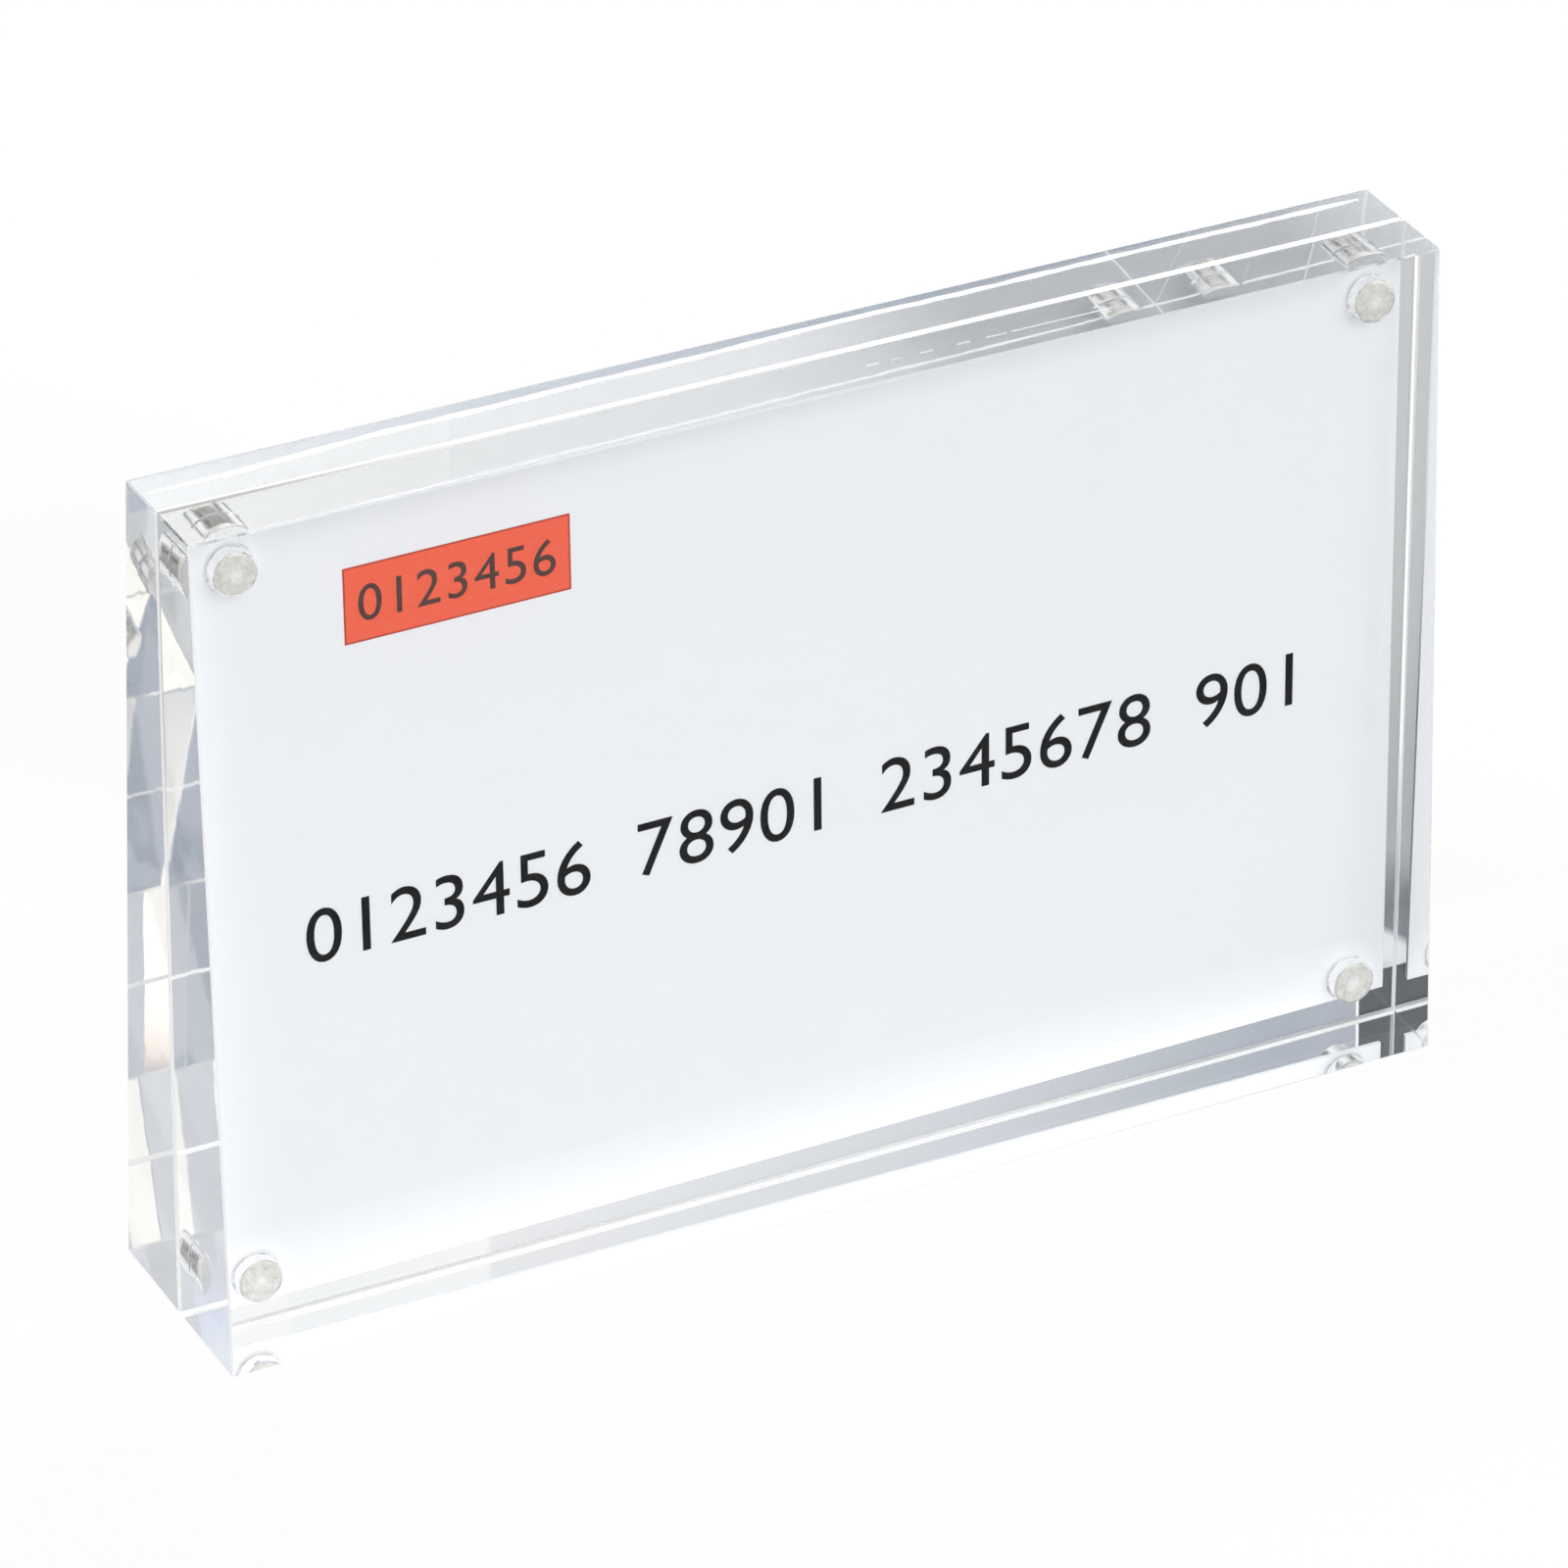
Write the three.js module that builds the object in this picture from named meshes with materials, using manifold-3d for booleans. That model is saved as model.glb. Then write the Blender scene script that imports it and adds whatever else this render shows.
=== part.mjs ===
// Acrylic block sign holder: two clear wedge blocks close on a printed card.
// Magnets sunk in the mating faces, one near each corner, pull the blocks together.
// Millimetres. X runs along the width, Y from front to rear, Z up.
// The origin lies on the table under the middle of the seam.

import * as THREE from 'three';
import { mergeVertices } from 'three/addons/utils/BufferGeometryUtils.js';
import Module from 'manifold-3d';

// Driving dimensions of the blocks
const holderWidth = 150;
const holderHeight = 100;
const footDepth = 28; // both blocks and the seam, at the table
const topDepth = 16; // both blocks and the seam, at the top
const edgeChamfer = 0.2; // broken edge all round each block

// Driving dimensions of the card
const cardThickness = 0.4;
const cardClearance = 0.1; // air between the card and each mating face
const cardSideMargin = 2; // from the card to each end of the blocks
const cardFootMargin = 3.2; // from the table up to the card, at mid width
const cardTopMargin = 0.6; // from the card up to the top of the blocks, at mid width
const cardLeanDegrees = 0.43; // the card is put in by hand and stands a little askew

// Driving dimensions of the magnets, their pockets and the glue
const magnetDiameter = 5;
const magnetThickness = 2;
const magnetBevel = 0.2; // rounded rim of the plating, as a bevel
const magnetSetback = 0.1; // magnet face below the mating face
const magnetInset = 6.5; // magnet axis to the nearest end, and to the top or the foot
const pocketClearance = 0.1; // all round the magnet
const pocketFlare = 0.2; // countersunk mouth of the pocket
const pocketFloorRound = 0.4; // corner that the cutter leaves round the floor
const glueThickness = 0.8;
const glueClearance = 0.05; // between the glue and the magnet, the wall and the floor
const roundSegments = 32;
const cornerSegments = 4;

// Sizes worked out from the driving dimensions
const seam = cardThickness + 2 * cardClearance;
const matingPlane = seam / 2;
const cardWidth = holderWidth - 2 * cardSideMargin;
const cardHeight = holderHeight - cardFootMargin - cardTopMargin;
const magnetRadius = magnetDiameter / 2;
const pocketRadius = magnetRadius + pocketClearance;
const pocketDepth = magnetSetback + magnetThickness + glueThickness + 2 * glueClearance;

const acrylic = new THREE.MeshStandardMaterial({
  color: 0xe6eef2, roughness: 0.04, metalness: 0, transparent: true, opacity: 0.3,
});
const nickel = new THREE.MeshStandardMaterial({ color: 0x9c9b97, roughness: 0.28, metalness: 1 });
const glue = new THREE.MeshStandardMaterial({ color: 0xcfcbbd, roughness: 0.45, metalness: 0 });
const paper = new THREE.MeshStandardMaterial({ color: 0xf5f6f8, roughness: 0.8, metalness: 0 });

const wasm = await Module();
wasm.setup();

// A closed geometry as a solid, with shared vertices merged and flat triangles dropped
function solidOf(geometry) {
  const bare = geometry.clone();
  bare.deleteAttribute('normal');
  bare.deleteAttribute('uv');
  const merged = mergeVertices(bare);
  const corners = merged.index.array;
  const kept = [];
  for (let i = 0; i < corners.length; i += 3) {
    const [a, b, c] = corners.slice(i, i + 3);
    if (a !== b && b !== c && c !== a) kept.push(a, b, c);
  }
  const vertProperties = new Float32Array(merged.attributes.position.array);
  return new wasm.Manifold(new wasm.Mesh({ numProp: 3, vertProperties, triVerts: new Uint32Array(kept) }));
}

function geometryOf(solid) {
  const { vertProperties, triVerts } = solid.getMesh();
  const geometry = new THREE.BufferGeometry();
  geometry.setAttribute('position', new THREE.BufferAttribute(vertProperties, 3));
  geometry.setIndex(new THREE.BufferAttribute(triVerts, 1));
  geometry.computeVertexNormals();
  return geometry;
}

// A polygon whose every corner is cut off by the chamfer, measured along both of its edges
function chamferedShape(corners, chamfer) {
  const points = [];
  corners.forEach((corner, i) => {
    const before = corners.at(i - 1);
    const after = corners[(i + 1) % corners.length];
    for (const neighbour of [before, after]) {
      const along = neighbour.clone().sub(corner).setLength(chamfer);
      points.push(corner.clone().add(along));
    }
  });
  return new THREE.Shape(points);
}

// Section of a block across the width: x is depth from the seam, y is height
function wedgeSection(side) {
  const corners = [
    [matingPlane, 0],
    [footDepth / 2, 0],
    [topDepth / 2, holderHeight],
    [matingPlane, holderHeight],
  ];
  const ordered = corners.map(([depth, height]) => new THREE.Vector2(side * depth, height));
  return chamferedShape(side > 0 ? ordered : ordered.reverse(), edgeChamfer);
}

// The section drawn along the width, with the same broken edge round both ends
function wedgeGeometry(side) {
  const geometry = new THREE.ExtrudeGeometry(wedgeSection(side), {
    depth: holderWidth - 2 * edgeChamfer,
    bevelThickness: edgeChamfer,
    bevelSize: edgeChamfer,
    bevelOffset: -edgeChamfer,
    bevelSegments: 1,
  });
  const depthAxis = new THREE.Vector3(0, 1, 0);
  const heightAxis = new THREE.Vector3(0, 0, 1);
  const widthAxis = new THREE.Vector3(1, 0, 0);
  geometry.applyMatrix4(new THREE.Matrix4().makeBasis(depthAxis, heightAxis, widthAxis));
  geometry.translate(edgeChamfer - holderWidth / 2, 0, 0);
  return geometry;
}

// A turned solid on the Y axis. Its profile is given as (radius, depth) from floor to mouth,
// and its depths count from the seam towards the outer face of the block.
function turned(profile, side) {
  const points = profile.map(([radius, depth]) => new THREE.Vector2(radius, side * depth));
  return new THREE.LatheGeometry(side > 0 ? points.reverse() : points, roundSegments);
}

// Quarter round between a floor and a wall, from the floor's edge out to the wall
function floorCorner(wallRadius, floorDepth, round) {
  const arc = [];
  for (let i = 0; i <= cornerSegments; i += 1) {
    const angle = (i / cornerSegments) * Math.PI / 2;
    const radius = wallRadius - round + round * Math.sin(angle);
    arc.push([radius, floorDepth - round + round * Math.cos(angle)]);
  }
  return arc;
}

// Blind pocket: round floor corner, straight wall and countersunk mouth, run out past the seam
function pocketCutter(side) {
  const floorDepth = matingPlane + pocketDepth;
  const mouthRadius = pocketRadius + pocketFlare;
  return turned([
    [0, floorDepth],
    ...floorCorner(pocketRadius, floorDepth, pocketFloorRound),
    [pocketRadius, matingPlane + pocketFlare],
    [mouthRadius, matingPlane],
    [mouthRadius, 0],
    [0, 0],
  ], side);
}

// Glue plug: fills the floor of the pocket up to the magnet
function glueGeometry(side) {
  const floorDepth = matingPlane + pocketDepth - glueClearance;
  const faceDepth = floorDepth - glueThickness;
  const radius = pocketRadius - glueClearance;
  return turned([
    [0, floorDepth],
    ...floorCorner(radius, floorDepth, pocketFloorRound),
    [radius, faceDepth],
    [0, faceDepth],
  ], side);
}

// Disc magnet with a bevelled rim, its face just below the mating face
function magnetGeometry(side) {
  const nearDepth = matingPlane + magnetSetback;
  const farDepth = nearDepth + magnetThickness;
  const faceRadius = magnetRadius - magnetBevel;
  return turned([
    [0, farDepth],
    [faceRadius, farDepth],
    [magnetRadius, farDepth - magnetBevel],
    [magnetRadius, nearDepth + magnetBevel],
    [faceRadius, nearDepth],
    [0, nearDepth],
  ], side);
}

const magnetAcross = holderWidth / 2 - magnetInset;
const cornersOfBlock = {
  top_left: [-magnetAcross, holderHeight - magnetInset],
  top_right: [magnetAcross, holderHeight - magnetInset],
  bottom_left: [-magnetAcross, magnetInset],
  bottom_right: [magnetAcross, magnetInset],
};

function blockMesh(name, side) {
  let solid = solidOf(wedgeGeometry(side));
  for (const [across, height] of Object.values(cornersOfBlock)) {
    const cutter = pocketCutter(side).translate(across, 0, height);
    solid = solid.subtract(solidOf(cutter));
  }
  const mesh = new THREE.Mesh(geometryOf(solid), acrylic);
  mesh.name = name;
  return mesh;
}

function cornerMesh(name, geometry, material, [across, height]) {
  const mesh = new THREE.Mesh(geometry, material);
  mesh.name = name;
  mesh.position.set(across, 0, height);
  return mesh;
}

// One half of the holder: a block with its magnets and their glue
function half(name, side) {
  const group = new THREE.Group();
  group.add(blockMesh(`${name}_block`, side));
  for (const [corner, place] of Object.entries(cornersOfBlock)) {
    group.add(cornerMesh(`${name}_magnet_${corner}`, magnetGeometry(side), nickel, place));
    group.add(cornerMesh(`${name}_glue_${corner}`, glueGeometry(side), glue, place));
  }
  return group;
}

// The card stands in the middle of the seam
function signCard() {
  const mesh = new THREE.Mesh(new THREE.BoxGeometry(cardWidth, cardThickness, cardHeight), paper);
  mesh.name = 'sign_card';
  mesh.position.z = cardFootMargin + cardHeight / 2;
  mesh.rotation.y = -THREE.MathUtils.degToRad(cardLeanDegrees);
  return mesh;
}

const holder = new THREE.Group();
holder.add(half('front', -1), half('rear', 1), signCard());

export default holder;
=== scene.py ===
# %% [markdown]
# # A clear acrylic sign holder
# Two wedges of clear acrylic stand back to back with a printed card between them. Small magnets
# sit in drilled pockets near the corners and pull the wedges together. Nearly everything that
# shows on such a holder is light that went through it, so this lesson spends its effort on true
# shapes, on honest glass and on what stands around the object for the glass to show.
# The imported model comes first. It is the fixed frame, and every piece is measured from it.

# %% Load the frame
import math

import bmesh
import bpy
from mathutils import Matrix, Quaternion, Vector, noise


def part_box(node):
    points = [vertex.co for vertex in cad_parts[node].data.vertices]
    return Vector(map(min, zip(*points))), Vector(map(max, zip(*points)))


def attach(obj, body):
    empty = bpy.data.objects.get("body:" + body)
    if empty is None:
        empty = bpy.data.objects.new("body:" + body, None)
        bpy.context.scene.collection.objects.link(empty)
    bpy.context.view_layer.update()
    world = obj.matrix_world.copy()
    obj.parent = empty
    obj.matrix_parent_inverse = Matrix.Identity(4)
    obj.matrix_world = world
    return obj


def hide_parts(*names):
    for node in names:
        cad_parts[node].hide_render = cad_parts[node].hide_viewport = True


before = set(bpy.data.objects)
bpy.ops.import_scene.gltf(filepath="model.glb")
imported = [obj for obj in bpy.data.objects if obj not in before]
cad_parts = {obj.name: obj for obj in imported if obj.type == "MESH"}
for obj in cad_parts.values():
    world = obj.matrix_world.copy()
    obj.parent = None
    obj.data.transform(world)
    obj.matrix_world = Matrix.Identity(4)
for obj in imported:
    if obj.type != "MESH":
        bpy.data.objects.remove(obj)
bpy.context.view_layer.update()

MM = 0.001
same_place = 0.05 * MM  # points closer than this lie at the same place
scene = bpy.context.scene

# %% [markdown]
# ## The camera
# A long lens from about a metre away shows the holder with almost parallel edges, as in a shop
# photograph. The place, aim and lens were found by fitting a camera to the corners of the blocks.
# Aiming with `to_track_quat` keeps the numbers readable: where it stands, where it looks and how
# much it is rolled.

# %% Camera
camera_place = Vector((-406.1, -774.2, 568.4)) * MM
camera_aim = Vector((-1.26, 0.0, 47.74)) * MM
camera_roll = math.radians(0.593)
sensor_width = 36.0
lens_length = 212.9

camera = bpy.data.objects.new("photo_camera", bpy.data.cameras.new("photo_camera"))
camera.data.sensor_width = sensor_width
camera.data.lens = lens_length
camera.location = camera_place
camera.rotation_mode = "QUATERNION"
level_look = (camera_aim - camera_place).to_track_quat("-Z", "Y")
camera.rotation_quaternion = level_look @ Quaternion((0.0, 0.0, 1.0), camera_roll)
scene.collection.objects.link(camera)
scene.camera = camera
print(f"camera stands {(camera_aim - camera_place).length:.3f} m away")

# %% [markdown]
# ## Small helpers for materials
# Every finish below starts from a Principled shader. `start_material` makes one, and `add_node`
# adds a node and fills in its settings and sockets by name. A finish that is the same all over
# looks false, so most of them also take a noise, laid out in the object's own metres.

# %% Starting a material
def start_material(name):
    material = bpy.data.materials.new(name)
    material.use_nodes = True
    return material, material.node_tree.nodes["Principled BSDF"]


def add_node(tree, kind, sockets=None, **settings):
    node = tree.nodes.new("ShaderNode" + kind)
    for name, value in settings.items():
        setattr(node, name, value)
    for name, value in (sockets or {}).items():
        node.inputs[name].default_value = value
    return node


def object_noise(tree, scale, detail=3.0, stretch=(1.0, 1.0, 1.0)):
    """Noise laid out in the object's own metres; scale counts features per metre."""
    place = add_node(tree, "TexCoord")
    spread = add_node(tree, "Mapping", {"Scale": stretch})
    cloud = add_node(tree, "TexNoise", {"Scale": scale, "Detail": detail})
    tree.links.new(place.outputs["Object"], spread.inputs["Vector"])
    tree.links.new(spread.outputs["Vector"], cloud.inputs["Vector"])
    return cloud.outputs["Fac"]


# %% [markdown]
# ## Colours and sums in a material
# A noise gives values about the middle of 0 to 1. `remap` stretches them, `tones` turns them into
# colours and `sum_up` does arithmetic. These helpers wrap the few nodes that come up again and
# again, so that a material reads like a short list.

# %% Colours and sums
def remap(tree, source, old_low, old_high, new_low=0.0, new_high=1.0):
    """Stretches one range of values onto another, and holds at both ends."""
    sockets = {"From Min": old_low, "From Max": old_high, "To Min": new_low, "To Max": new_high}
    node = add_node(tree, "MapRange", sockets)
    tree.links.new(source, node.inputs["Value"])
    return node.outputs["Result"]


def tones(tree, source, *stops):
    """Colours along a ramp: each stop is a place from 0 to 1 and a colour."""
    ramp = add_node(tree, "ValToRGB")
    elements = ramp.color_ramp.elements
    while len(elements) < len(stops):
        elements.new(1.0)
    for element, (place, colour) in zip(elements, stops):
        element.position = place
        element.color = (*colour, 1.0)
    tree.links.new(source, ramp.inputs["Fac"])
    return ramp.outputs["Color"]


def two_tone(tree, source, first, second):
    return tones(tree, source, (0.0, first), (1.0, second))


def blend(tree, share, first, second):
    """Mixes two colours, each one a link or a plain colour."""
    mix = add_node(tree, "Mix", data_type="RGBA")
    sockets = [socket for socket in mix.inputs if socket.type == "RGBA"]
    for socket, colour in zip(sockets, (first, second)):
        if isinstance(colour, tuple):
            socket.default_value = (*colour, 1.0)
        else:
            tree.links.new(colour, socket)
    tree.links.new(share, mix.inputs["Factor"])
    return next(socket for socket in mix.outputs if socket.type == "RGBA")


def parts_of(tree, coordinates):
    """The X, Y and Z of a texture coordinate."""
    place = add_node(tree, "TexCoord")
    split = add_node(tree, "SeparateXYZ")
    tree.links.new(place.outputs[coordinates], split.inputs["Vector"])
    return split.outputs["X"], split.outputs["Y"], split.outputs["Z"]


def sum_up(tree, operation, first, second=0.0):
    """One step of arithmetic on links or plain numbers."""
    node = add_node(tree, "Math", operation=operation)
    for socket, source in zip(node.inputs, (first, second)):
        if isinstance(source, (int, float)):
            socket.default_value = source
        else:
            tree.links.new(source, socket)
    return node.outputs[0]


def multiplied(tree, first, second):
    """One colour times another."""
    product = add_node(tree, "VectorMath", operation="MULTIPLY")
    tree.links.new(first, product.inputs[0])
    tree.links.new(second, product.inputs[1])
    return product.outputs["Vector"]


def brighter(tree, colour, factor):
    scaled = add_node(tree, "VectorMath", operation="SCALE")
    tree.links.new(colour, scaled.inputs[0])
    tree.links.new(factor, scaled.inputs["Scale"])
    return scaled.outputs["Vector"]


def bump_from(tree, source, height):
    bump = add_node(tree, "Bump", {"Strength": 1.0, "Distance": height})
    tree.links.new(source, bump.inputs["Height"])
    return bump.outputs["Normal"]


def show_mix(tree, share, first, second):
    """Shows a mix of two shaders as the surface."""
    mix = add_node(tree, "MixShader")
    tree.links.new(share, mix.inputs["Fac"])
    tree.links.new(first, mix.inputs[1])
    tree.links.new(second, mix.inputs[2])
    tree.links.new(mix.outputs["Shader"], tree.nodes["Material Output"].inputs["Surface"])


# %% [markdown]
# ## Clear polished acrylic
# Acrylic bends light a little less than window glass: its index of refraction is 1.49. That number
# decides which faces are windows and which are mirrors, because light that meets a face from inside
# at more than 42 degrees off square cannot get out. The big faces are diamond polished, so the
# roughness is almost nothing, with a few handling smears.

# %% Polished acrylic
acrylic_index = 1.49


def polished_acrylic():
    material, shader = start_material("polished_acrylic")
    tree = material.node_tree
    shader.inputs["Base Color"].default_value = (0.985, 0.992, 0.995, 1.0)
    shader.inputs["Transmission Weight"].default_value = 1.0
    shader.inputs["IOR"].default_value = acrylic_index
    smears = object_noise(tree, 45.0, detail=5.0)
    tree.links.new(remap(tree, smears, 0.4, 0.8, 0.005, 0.03), shader.inputs["Roughness"])
    waves = object_noise(tree, 90.0, detail=3.0)
    tree.links.new(bump_from(tree, waves, 0.005 * MM), shader.inputs["Normal"])
    return material


clear_face = polished_acrylic()
print("big faces:", clear_face.name)

# %% [markdown]
# ## Ground, buffed and drilled acrylic
# Where a tool has been, acrylic is no longer a clean window. One recipe gives three finishes: a
# fine grain in the roughness and in the surface, and a share of light that still goes through. The
# edges round the seam were broken by hand and stay white, the outer edges were buffed nearly clear,
# and the drilled pockets are clear but rough.

# %% Ground, buffed and drilled acrylic
def fine_ground_acrylic(name, rough_low, rough_high, tint, clearness, grain_height):
    material, shader = start_material(name)
    tree = material.node_tree
    shader.inputs["Base Color"].default_value = (*tint, 1.0)
    shader.inputs["Transmission Weight"].default_value = clearness
    shader.inputs["IOR"].default_value = acrylic_index
    grain = object_noise(tree, 3000.0, detail=2.0)
    tree.links.new(remap(tree, grain, 0.3, 0.7, rough_low, rough_high), shader.inputs["Roughness"])
    tree.links.new(bump_from(tree, grain, grain_height), shader.inputs["Normal"])
    return material


broken_edge = fine_ground_acrylic(
    "broken_edge_acrylic", rough_low=0.35, rough_high=0.6, tint=(0.99, 0.99, 0.99),
    clearness=0.1, grain_height=0.006 * MM)
buffed_edge = fine_ground_acrylic(
    "buffed_edge_acrylic", rough_low=0.08, rough_high=0.22, tint=(0.985, 0.99, 0.99),
    clearness=1.0, grain_height=0.001 * MM)
drilled_wall = fine_ground_acrylic(
    "drilled_acrylic", rough_low=0.12, rough_high=0.3, tint=(0.96, 0.965, 0.965),
    clearness=1.0, grain_height=0.02 * MM)
print("worked faces:", broken_edge.name, buffed_edge.name, drilled_wall.name)

# %% [markdown]
# ## Sizes of the wedge from the frame
# The CAD block tells its own sizes. Its lowest outer line gives the foot, its highest outer line
# gives the top, and a straight line through both gives the slope of the outer face.

# %% Measure the wedge
block_low, block_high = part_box("rear_block")
block_points = [vertex.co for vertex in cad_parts["rear_block"].data.vertices]
foot_line = max(block_points, key=lambda point: point.y)
upper_points = [point for point in block_points if point.z > block_high.z / 2]
head_line = max(upper_points, key=lambda point: point.y)
slope = (head_line.y - foot_line.y) / (head_line.z - foot_line.z)

mating_depth = block_low.y
edge_break = foot_line.z
foot_depth = foot_line.y - slope * foot_line.z
top_depth = foot_depth + slope * block_high.z
print(f"foot {foot_depth / MM:.2f} mm, top {top_depth / MM:.2f} mm from the seam's middle")

# %% [markdown]
# ## Turned shapes
# Pockets, magnets and glue are all round, so one helper turns a profile about an axis that runs
# front to back. A profile is a list of (radius, depth) pairs, with the depth counted from the
# seam's middle. `side` is -1 for the front block and 1 for the rear one. A ring of one point is a
# pole.

# %% Turning helper
ring_sides = 96


def ring(builder, centre, radius, depth, side):
    if radius == 0.0:
        return [builder.verts.new((centre.x, side * depth, centre.z))]
    points = []
    for step in range(ring_sides):
        angle = 2.0 * math.pi * step / ring_sides
        across = radius * math.cos(angle)
        up = radius * math.sin(angle)
        points.append(builder.verts.new((centre.x + across, side * depth, centre.z + up)))
    return points


def skin(builder, rings, material_index=0):
    for near, far in zip(rings, rings[1:]):
        for step in range(max(len(near), len(far))):
            after = step + 1
            corners = [near[step % len(near)], near[after % len(near)]]
            corners += [far[after % len(far)], far[step % len(far)]]
            face = builder.faces.new(list(dict.fromkeys(corners)))
            face.material_index = material_index
            face.smooth = True


def keep_piece(name, builder, materials, body, nodes=(), crease=38.0):
    """Turns the finished mesh into a piece that rides on a body and stands for its nodes."""
    bmesh.ops.recalc_face_normals(builder, faces=builder.faces[:])
    mesh = bpy.data.meshes.new(name)
    builder.to_mesh(mesh)
    builder.free()
    mesh.set_sharp_from_angle(angle=math.radians(crease))
    for material in materials:
        mesh.materials.append(material)
    piece = bpy.data.objects.new(name, mesh)
    scene.collection.objects.link(piece)
    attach(piece, body)
    if nodes:
        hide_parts(*nodes)
    return piece


# %% [markdown]
# ## Pockets
# Each pocket is drilled and then cleaned with an end mill, which leaves a round corner and fine
# rings on the floor. The rings are real ripples in the profile, a few microns high, because the
# clear block shows them from the front.

# %% Pocket profile
film = 0.05 * MM  # air round the glue
mouth_flare = 0.2 * MM
corner_round = 0.4 * MM
ripple_pitch = 0.22 * MM
ripple_height = 0.006 * MM
corner_steps = 6


def pocket_profile(radius, floor_depth):
    points = [(radius + mouth_flare, mating_depth), (radius, mating_depth + mouth_flare)]
    for step in range(corner_steps + 1):
        angle = 0.5 * math.pi * step / corner_steps
        across = radius - corner_round + corner_round * math.cos(angle)
        points.append((across, floor_depth - corner_round + corner_round * math.sin(angle)))
    ripples = int((radius - corner_round) / ripple_pitch)
    for count in range(ripples - 1, 0, -1):
        lift = ripple_height if count % 2 else 0.0
        points.append((count * ripple_pitch, floor_depth - lift))
    points.append((0.0, floor_depth))
    return points


corner_names = [f"{level}_{hand}" for level in ("top", "bottom") for hand in ("left", "right")]
glue_low, glue_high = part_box("rear_glue_top_left")
pocket_radius = (glue_high.x - glue_low.x) / 2 + film
pocket_floor = glue_high.y + film
pocket_centres = {}
for corner in corner_names:
    low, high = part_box(f"rear_magnet_{corner}")
    pocket_centres[corner] = (low + high) / 2
print(f"pockets {2 * pocket_radius / MM:.1f} mm across,", len(pocket_centres), "in each block")

# %% [markdown]
# ## Wedges
# A wedge is eight corners and six faces. Every edge of a real block is broken with a scraper, so
# that it doesn't cut. A modifier could do that too, but `bmesh.ops.bevel` breaks the twelve edges
# in one go and marks the new narrow faces with their own finish.

# %% Wedges
ground, drilled, buffed = 1, 2, 3  # places in a block's list of finishes; the polished one is 0


def wedge(builder, side):
    section = [(mating_depth, 0.0), (foot_depth, 0.0)]
    section += [(top_depth, block_high.z), (mating_depth, block_high.z)]
    ends = []
    for across in (block_low.x, block_high.x):
        points = [(across, side * depth, height) for depth, height in section]
        ends.append([builder.verts.new(point) for point in points])
    left, right = ends
    builder.faces.new(left)
    builder.faces.new(right)
    for step in range(len(section)):
        after = (step + 1) % len(section)
        builder.faces.new([left[step], left[after], right[after], right[step]])
    bmesh.ops.recalc_face_normals(builder, faces=builder.faces[:])
    bmesh.ops.bevel(builder, geom=builder.edges[:], offset=edge_break, offset_type="OFFSET",
                    segments=1, profile=0.5, affect="EDGES", material=buffed)


# %% [markdown]
# ## Edges broken by hand
# Round the seam the scraper was led by hand, wider at one corner than at the next. So the corners
# of the mating face move to the widths written here: across and up, in millimetres. The CAD block
# has one even width there, and the hand widths stay in its box.

# %% Edges broken by hand
seam_breaks = {
    ("left", "top"): (0.2, 0.1),
    ("right", "top"): (0.2, 0.4),
    ("right", "bottom"): (0.06, 0.25),
    ("left", "bottom"): (0.2, 0.45),
}


def find_mating_face(builder, side):
    builder.normal_update()
    return max(builder.faces, key=lambda face: -side * face.normal.y * face.calc_area())


def break_seam_edges(builder, side):
    """Moves the corners of the mating face, so that the edges round it have hand widths."""
    mating_face = find_mating_face(builder, side)
    for edge in mating_face.edges:
        for face in edge.link_faces:
            if face != mating_face:
                face.material_index = ground
    for corner in mating_face.verts:
        hand = "left" if corner.co.x < 0.0 else "right"
        level = "bottom" if corner.co.z < block_high.z / 2 else "top"
        across, up = seam_breaks[hand, level]
        end = block_low.x if hand == "left" else block_high.x
        for edge in corner.link_edges:
            neighbour = edge.other_vert(corner)
            if abs(neighbour.co.x - end) < same_place:
                neighbour.co.y = side * (mating_depth + across * MM)
        corner.co.x = end + across * MM if hand == "left" else end - across * MM
        corner.co.z = up * MM if level == "bottom" else block_high.z - up * MM


def scrape_left_edge(builder, side):
    """The upright outer edge at the left end was scraped and not buffed, so it stays white."""
    slanting = 0.5  # the narrow face looks both left and outwards by more than this
    for face in builder.faces:
        if face.normal.x < -slanting and side * face.normal.y > slanting:
            face.material_index = ground


print("seam edges broken at", len(seam_breaks), "corners by hand widths")

# %% [markdown]
# ## Pockets in the mating face
# The flat mating face is taken out and filled again round four circles, from which the pockets go
# inwards. A boolean could cut the pockets too, but this way every face keeps the material that it
# was given, and no stray slivers appear.

# %% Pockets in the mating face
def open_pockets(builder, side):
    mating_face = find_mating_face(builder, side)
    outline = mating_face.edges[:]
    bmesh.ops.delete(builder, geom=[mating_face], context="FACES_ONLY")
    profile = pocket_profile(pocket_radius, pocket_floor)
    for centre in pocket_centres.values():
        rings = [ring(builder, centre, radius, depth, side) for radius, depth in profile]
        mouth = rings[0]
        for step, point in enumerate(mouth):
            outline.append(builder.edges.new((point, mouth[(step + 1) % ring_sides])))
        skin(builder, rings, drilled)
    bmesh.ops.triangle_fill(builder, use_beauty=True, edges=outline)
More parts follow.
